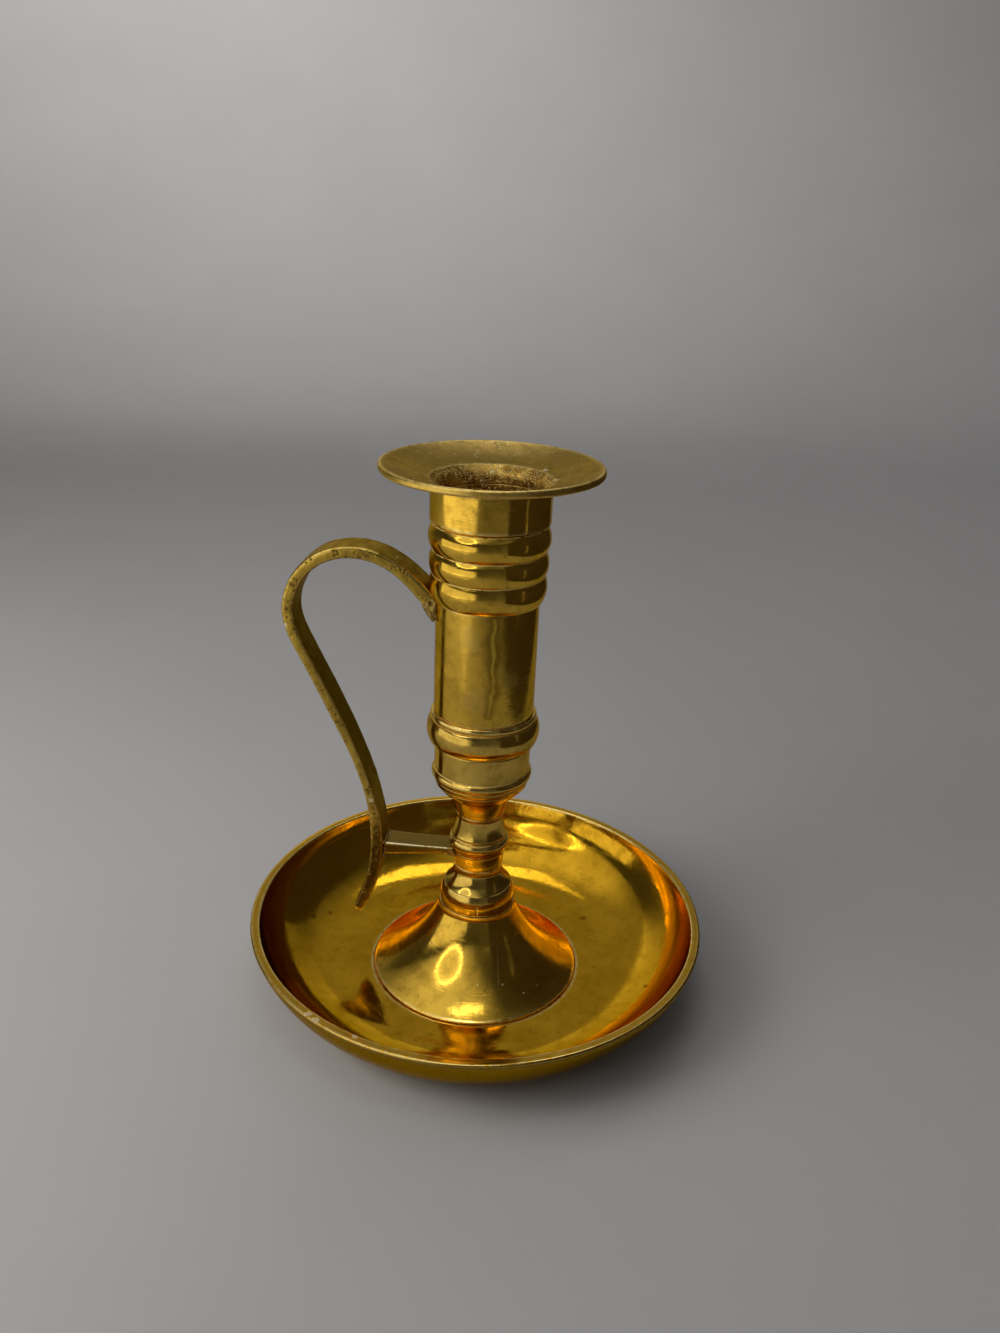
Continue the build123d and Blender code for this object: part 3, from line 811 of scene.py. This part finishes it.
def collar_extra(shader, colour, rough, normal):
    """A pale nick across the joint."""
    nick = shader.streak(collar_nick, 0.0004)
    colour = shader.stain(colour, nick, 0.8, collar_pale)
    rough = shader.rougher(rough, nick, 0.2)
    return colour, rough, shader.bump(nick, -0.0001, normal)


def stippled(shader, colour, rough, normal):
    """Rough cast grain on what faces the axis: dark, with many small bright dots and a few pale runs."""
    place = shader.place()
    inward = shader.number("inward")
    dots = shader.step(shader.cells(place, 1900.0), 0.42, 0.18)
    mottle = shader.noise(place, 260.0, roughness=0.6)
    ground = shader.colours(shader.step(mottle, 0.4, 0.6), bore_dark, bore_gold)
    grain = shader.colours(dots, ground, bore_dots)
    grain = shader.stain(grain, shader.marks(bore_runs, 1500.0, 0.0012), 0.8, bore_run)
    colour = shader.stain(colour, inward, 0.9, grain)
    rough = shader.rougher(rough, inward, 0.22)
    return colour, rough, shader.bump(shader.product(dots, inward), 0.00014, normal)


def flange_extra(shader, colour, rough, normal):
    """Pale speckles on the dull dish, a bright patch at its mouth, and a grainy throat."""
    place = shader.place()
    rare = shader.step(shader.noise(place, 500.0, detail=2.0), 0.50, 0.60)
    speck = shader.product(shader.step(shader.cells(place, 1500.0), 0.32, 0.16), rare)
    colour = shader.stain(colour, speck, 0.7, flange_speck)
    normal = shader.bump(shader.noise(place, 1700.0, roughness=0.7), 0.000012, normal)
    colour = shader.stain(colour, shader.marks(mouth_marks, 1500.0, 0.0012), 0.75, mouth_pale)
    colour = shader.stain(colour, shader.number("outward"), 0.6, flange_underside)
    return stippled(shader, colour, rough, normal)


def tube_extra(shader, colour, rough, normal):
    """A brown stain that ran down the tube, with a yellow middle, and a pale wash round it."""
    head = shader.streak(tube_stain[:2], 0.0038, 0.003)
    run = shader.streak(tube_stain, 0.0022, 0.003)
    core = shader.streak(tube_stain, 0.0006, 0.002)
    wash = shader.marks(tube_wash, 300.0, 0.006)
    colour = shader.stain(colour, wash, 0.3, wash_gold)
    colour = shader.stain(colour, head, 0.5, stain_head)
    colour = shader.stain(colour, run, 0.65, stain_run)
    colour = shader.stain(colour, core, 0.55, stain_core)
    rough = shader.rougher(rough, wash, 0.1)
    rough = shader.rougher(rough, head, 0.14)
    return colour, rough, shader.bump(core, 0.00002, normal)


def bar_extra(shader, colour, rough, normal):
    """Satin on the broad faces, painted shade on the broad faces inside the loop, and pits and scrapes on
    the narrow faces.
    """
    place = shader.place()
    narrow = shader.number("narrow")
    broad = shader.product(shader.inverse(narrow), shader.inverse(shader.number("wear")))
    satin = shader.step(shader.noise(place, 380.0, detail=4.0, roughness=0.6), 0.35, 0.65)
    colour = shader.stain(colour, broad, 0.85, shader.colours(satin, satin_dark, satin_gold))
    # Painted shade on the broad faces inside the handle loop
    colour = shader.stain(colour, shader.product(shader.number("inside"), broad), 0.75, strap_inside_shade)
    rough = shader.rougher(rough, broad, 0.16)
    rare = shader.step(shader.noise(place, 240.0), 0.46, 0.6)
    pit = shader.product(shader.product(shader.step(shader.cells(place, 950.0), 0.5, 0.25), rare), narrow)
    colour = shader.stain(colour, pit, 0.8, pit_brown)
    rough = shader.rougher(rough, pit, 0.2)
    normal = shader.bump(pit, -0.00006, normal)
    colour = shader.stain(colour, shader.marks(strap_nicks, 1200.0, 0.0006), 0.8, strap_pale)
    stroke = shader.noise(shader.vector("MULTIPLY", place, (300.0, 2600.0, 300.0)), 1.0, detail=2.0)
    return colour, rough, shader.bump(stroke, 0.000008, normal)


def strut_extra(shader, colour, rough, normal):
    """Painted shade on the satin top, a broken painted highlight along its rounded edge, and two painted
    grey glints.
    """
    facing = shader.add("ShaderNodeNewGeometry", "Normal", {})
    upward = shader.add("ShaderNodeSeparateXYZ", "Z", {0: facing})
    # Painted shade on the top face
    top = shader.step(upward, 0.6, 0.9)
    colour = shader.stain(colour, top, 0.8, strut_top_shade)
    # Painted highlight along the rounded top edge, broken by noise
    ridge_highlight = shader.product(shader.step(upward, 0.25, 0.5), shader.step(upward, 0.98, 0.9))
    ridge_highlight = shader.product(ridge_highlight, shader.step(shader.noise(shader.place(), 900.0), 0.3, 0.5))
    colour = shader.stain(colour, ridge_highlight, 0.8, strut_ridge_highlight)
    rough = shader.rougher(rough, shader.maths("MAXIMUM", top, ridge_highlight), 0.12)
    # Two painted glints
    colour = shader.stain(colour, shader.marks(strut_painted_glints, 1300.0, 0.0008), 0.8, strut_painted_glint)
    return colour, rough, normal


def steel(name):
    """Dull zinc on steel, with rust in its low spots."""
    shader = Shader(name)
    place = shader.place()
    cloud = shader.noise(place, 500.0, detail=5.0, roughness=0.65)
    rust = shader.step(shader.noise(place, 900.0, detail=4.0, roughness=0.7), 0.58, 0.72)
    colour = shader.stain(shader.colours(cloud, zinc_dark, zinc_light), rust, 0.6, rust_brown)
    rough = shader.rougher(shader.step(cloud, 0.3, 0.7, 0.28, 0.45), rust, 0.3)
    return shader.finish(colour, rough, shader.bump(shader.noise(place, 3500.0), 0.000008))


def soft_solder(name):
    """Solder of the colour of old brass, that ran and froze, with dark flux at its edges."""
    shader = Shader(name)
    place = shader.place()
    cloud = shader.noise(place, 700.0, detail=4.0, roughness=0.6, distortion=0.5)
    bloom = shader.step(shader.noise(place, 1300.0, roughness=0.65), 0.45, 0.66)
    colour = shader.colours(shader.step(cloud, 0.35, 0.7), solder_dark, solder_gold)
    colour = shader.stain(colour, bloom, 0.12, solder_bloom)
    flux = shader.product(shader.number("soil_and_shade"), shader.step(cloud, 0.3, 0.6))
    colour = shader.stain(colour, flux, 0.8, flux_brown)
    rough = shader.step(cloud, 0.3, 0.7, 0.24, 0.42)
    normal = shader.bump(bloom, 0.00001, shader.bump(cloud, 0.00006))
    shader.surface.inputs["Specular Tint"].default_value = with_alpha(edge_tint)
    return shader.finish(colour, rough, normal, metallic=0.95)


def dress(piece, node, material):
    """Lets a piece stand for its node, on the body and its material."""
    piece.data.materials.append(material)
    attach(piece, body)
    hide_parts(node)


# Stage


def add_stage():
    """A pale floor that rises to a low wall all round, so that no edge shows."""
    profile = [(0.0, 0.0)]
    profile += [(radius, 0.0) for radius in np.linspace(floor_start, floor_radius, floor_rings)]
    for k in range(1, bend_steps + 1):
        turn = k / bend_steps * math.pi / 2
        profile.append((floor_radius + wall_bend * math.sin(turn), wall_bend - wall_bend * math.cos(turn)))
    profile.append((floor_radius + wall_bend, wall_top))
    angles = np.arange(stage_around) * 2 * math.pi / stage_around
    places = [(0.0, 0.0, 0.0)]
    for radius, height in profile[1:]:
        places += [(radius * math.cos(a), radius * math.sin(a), height) for a in angles]
    after = [(j + 1) % stage_around for j in range(stage_around)]
    faces = [(0, 1 + j, 1 + after[j]) for j in range(stage_around)]
    for i in range(len(profile) - 2):
        low, high = 1 + i * stage_around, 1 + (i + 1) * stage_around
        faces += [(low + j, high + j, high + after[j], low + after[j]) for j in range(stage_around)]
    floor = new_piece("stage_floor", places, faces)
    shader = Shader("stage_paper")
    colour = shader.colours(shader.noise(shader.place(), 9.0, detail=4.0), paper_dark, paper_light)
    weave = shader.bump(shader.noise(shader.place(), 1800.0, detail=2.0), 0.00002)
    floor.data.materials.append(shader.finish(colour, 0.85, weave, metallic=0.0))


def add_flag():
    """A dark card on the right, out of sight, which gives the metal its dark side."""
    corners = [
        (flag_right, flag_near, stage_gap), (flag_right, flag_far, stage_gap),
        (flag_right, flag_far, flag_top), (flag_right, flag_near, flag_top),
    ]
    flag = new_piece("stage_flag", corners, [(0, 1, 2, 3)])
    shader = Shader("stage_card")
    colour = shader.colours(shader.noise(shader.place(), 40.0), card_dark, card_light)
    grain = shader.bump(shader.noise(shader.place(), 900.0), 0.00002)
    flag.data.materials.append(shader.finish(colour, 0.9, grain, metallic=0.0))
    flag.visible_camera = False
    flag.visible_diffuse = False
    flag.visible_shadow = False


def from_angles(azimuth, elevation, distance, centre):
    """A place seen from a centre: azimuth from the front towards the right, and elevation, in degrees."""
    a, e = math.radians(azimuth), math.radians(elevation)
    step = Vector((math.sin(a) * math.cos(e), -math.cos(a) * math.cos(e), math.sin(e)))
    return Vector(centre) + step * distance


def aimed(place, target):
    """The turn that points a lamp from its place at its target."""
    return (Vector(target) - Vector(place)).to_track_quat("-Z", "Y")


def add_softbox(name, place, target, width, height, radiance, spread=180, elliptical=False):
    """A soft lamp, given by how bright its face looks, that the camera doesn't see."""
    lamp = bpy.data.lights.new(name, "AREA")
    lamp.shape = "ELLIPSE" if elliptical else "RECTANGLE"
    lamp.size = width
    lamp.size_y = height
    lamp.energy = radiance * math.pi * width * height * (math.pi / 4 if elliptical else 1.0)
    lamp.color = lamp_colour
    lamp.spread = math.radians(spread)
    holder = bpy.data.objects.new(name, lamp)
    scene.collection.objects.link(holder)
    holder.location = place
    holder.rotation_euler = aimed(place, target).to_euler()
    holder.visible_camera = False
    return holder


def add_window(place, target, half_width, half_height, radiance):
    """A round soft lamp, out of sight, that is brighter at its rim."""
    turn = aimed(place, target)
    places, rim = [place], [0.0]
    for share in window_rings:
        for k in range(window_around):
            a = k * 2 * math.pi / window_around
            flat = Vector((half_width * share * math.cos(a), half_height * share * math.sin(a), 0.0))
            places.append(Vector(place) + turn @ flat)
            rim.append(float(share > window_rim_start))
    after = [(k + 1) % window_around for k in range(window_around)]
    faces = [(0, 1 + after[k], 1 + k) for k in range(window_around)]
    for i in range(len(window_rings) - 1):
        low, high = 1 + i * window_around, 1 + (i + 1) * window_around
        faces += [(low + k, low + after[k], high + after[k], high + k) for k in range(window_around)]
    window = new_piece("stage_window", places, faces)
    set_attribute(window, "rim", rim)
    shader = Shader("window_glow")
    front = shader.inverse(shader.add("ShaderNodeNewGeometry", "Backfacing", {}))
    glow = shader.step(shader.number("rim"), 0.0, 1.0, window_middle * radiance, radiance)
    shader.fill(shader.surface.inputs["Emission Color"], with_alpha(lamp_colour))
    shader.fill(shader.surface.inputs["Emission Strength"], shader.product(glow, front))
    grain = shader.bump(shader.noise(shader.place(), 50.0), 0.0001)
    window.data.materials.append(shader.finish((0.0, 0.0, 0.0), 1.0, grain, metallic=0.0))
    window.visible_camera = False
    window.visible_shadow = False


def add_metal_lights():
    """The lamps that the metal mirrors: in front on the left, above, behind, and a strip on the right."""
    add_window(from_angles(-42, 35, 0.5, middle), middle, half_width=0.172, half_height=0.125, radiance=3.8)
    centre = (0.0, 0.0, 0.085)
    place = from_angles(-54, 0, 0.36, centre)
    panel = add_softbox("low_panel", place, centre, width=0.54, height=0.16, radiance=0.92)
    panel.visible_diffuse = False
    place = from_angles(-42, 0, 0.385, (0.0, 0.0, stage_gap))
    add_softbox("floor_glow", place, (place.x, place.y, 1.0), width=0.26, height=0.26, radiance=0.3)
    place = from_angles(178, 64, 0.9, middle)
    add_softbox("high_panel", place, middle, width=0.48, height=0.28, radiance=1.6)
    centre = (0.0, -0.024, 0.0)
    place = from_angles(-10, 77, 0.6, centre)
    add_softbox("overhead", place, centre, width=0.24, height=0.08, radiance=3.4, elliptical=True)
    centre = (0.0, 0.0, 0.09)
    place = from_angles(74, 0, 0.14, centre)
    add_softbox("right_strip", place, centre, width=0.006, height=0.07, radiance=0.2)


def add_stage_lights():
    """The lamps that light the floor and the wall and don't show in the metal."""
    place, target = from_angles(-66, 30, 0.5, middle), (-0.2, 0.0, 0.0)
    key = add_softbox("floor_key", place, target, width=0.34, height=0.26, radiance=3.1, spread=125)
    place, target = (-0.4, 0.45, 1.0), (-0.45, 1.2, 0.55)
    wash = add_softbox("wall_wash", place, target, width=0.7, height=0.3, radiance=8.0, spread=110)
    for lamp in (key, wash):
        lamp.visible_glossy = False


def add_world():
    """A dim world with soft glows, which the metal mirrors where no lamp is."""
    world = bpy.data.worlds.new("studio")
    world.use_nodes = True
    sky = Nodes(world.node_tree)
    direction = sky.add("ShaderNodeTexCoord", "Generated", {})
    strength = world_strength
    for towards, start, height in world_glows:
        lobe = sky.step(sky.dot(direction, towards), start, 1.0, 0.0, height)
        strength = sky.maths("ADD", lobe, strength)
    background = world.node_tree.nodes["Background"]
    background.inputs["Color"].default_value = with_alpha(world_colour)
    sky.fill(background.inputs["Strength"], strength)
    scene.world = world


def add_camera():
    """The camera at the photograph's place, turned in heading, tilt and roll."""
    yaw, pitch, roll = (math.radians(a) for a in (camera_heading, camera_tilt, camera_roll))
    forward = Vector((math.sin(yaw) * math.cos(pitch), math.cos(yaw) * math.cos(pitch), -math.sin(pitch)))
    level = Vector((math.cos(yaw), -math.sin(yaw), 0.0))
    upright = level.cross(forward)
    right = math.cos(roll) * level + math.sin(roll) * upright
    up = math.cos(roll) * upright - math.sin(roll) * level
    camera = bpy.data.cameras.new("camera")
    camera.sensor_width = sensor_width
    camera.lens = focal_pixels * sensor_width / image_long_side
    camera.clip_start = 0.01
    holder = bpy.data.objects.new("camera", camera)
    scene.collection.objects.link(holder)
    turn = Matrix((right, up, -forward)).transposed().to_4x4()
    holder.matrix_world = Matrix.Translation(camera_place) @ turn
    scene.camera = holder


# Making

add_camera()
add_stage()
add_flag()
add_metal_lights()
add_stage_lights()
add_world()

finishes = {
    "drip_pan": brass("pan_brass", **pan_tone, roughness=0.06, extra=pan_extra),
    "foot_cone": brass("cone_brass", **stem_tone, roughness=0.10, extra=cone_extra),
    "stem_collar": brass("collar_brass", **low_tone, roughness=0.085, extra=collar_extra),
    "stem_knop": brass("knop_brass", **low_tone, roughness=0.085),
    "column_cup": brass("cup_brass", **low_tone, roughness=0.09),
    "column_tube": brass("tube_brass", **stem_tone, roughness=0.11, extra=tube_extra),
    "candle_socket": brass("socket_brass", **stem_tone, roughness=0.085, extra=stippled),
    "drip_flange": brass("flange_brass", **flange_tone, roughness=0.27, extra=flange_extra),
}
steel_finish = steel("zinc_steel")
solder_finish = soft_solder("brassy_solder")
bar_looks = {**bar_tone, "dulling": 0.6, "turning_lines": False}
strap_finish = brass("strap_brass", **bar_looks, roughness=0.2, extra=bar_extra)
strut_finish = brass("strut_brass", **bar_looks, roughness=0.22, extra=strut_extra)

washers = ["base_washer", "socket_washer"]
turned = [*finishes, *washers]
outlines = {node: softened(seam_outline(node), corner_rounds.get(node, corner_round)) for node in turned}
for number, node in enumerate(turned):
    others = np.vstack([outlines[other] for other in outlines if other != node])
    outline = scribed(outlines[node], scribes.get(node, ()))
    piece = spin(node + "_turned", outline, others, turned_unevenness, number)
    if node in washers:
        dress(piece, node, steel_finish)
    else:
        dress(piece, node, finishes[node])

strap = remade("strap_bar", "handle_strap", bar_voxel, strap_rounds, bar_bumps, 31)
dress(strap, "handle_strap", strap_finish)
strut = remade("strut_bar", "handle_strut", bar_voxel, strut_rounds, bar_bumps, 41)
dress(strut, "handle_strut", strut_finish)
for number, node in enumerate(("socket_solder", "strut_solder")):
    piece = remade(node + "_run", node, solder_voxel, solder_rounds, solder_bumps, 51 + number)
    dress(piece, node, solder_finish)

dress(threaded_rod("tie_rod_threaded", "tie_rod"), "tie_rod", steel_finish)
for node in ("base_nut", "socket_nut"):
    dress(hex_nut(node + "_hex", node), node, steel_finish)

scene.view_settings.view_transform = "Standard"
